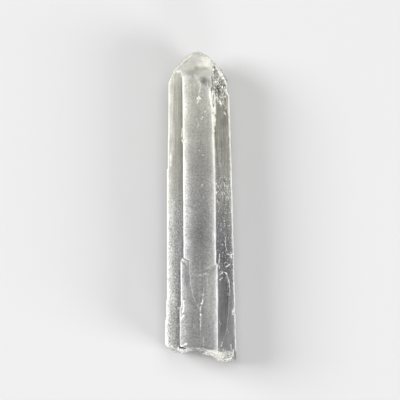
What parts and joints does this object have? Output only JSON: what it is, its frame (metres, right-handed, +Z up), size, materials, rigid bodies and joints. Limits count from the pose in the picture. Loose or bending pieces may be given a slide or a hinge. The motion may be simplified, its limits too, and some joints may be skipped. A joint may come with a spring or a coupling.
{
  "type": "laser quartz point",
  "caption": "Slender clear quartz crystal, frosted and worn, with a low blunt point, stepped prism faces and a broken base. It lies on a flat prism face.",
  "frame": {"origin": "on the surface it rests on, under the middle of the crystal's box", "axes": "+Y along the crystal to its point, +Z up from the prism face it rests on, +X across"},
  "size_m": [0.0175, 0.0763, 0.0143],
  "materials": {
    "quartz": "clear quartz with worn, frosted faces, whiter at the edges, the point and the broken base"
  },
  "bodies": {
    "root": {"quartz_crystal": "quartz"}
  },
  "joints": []
}
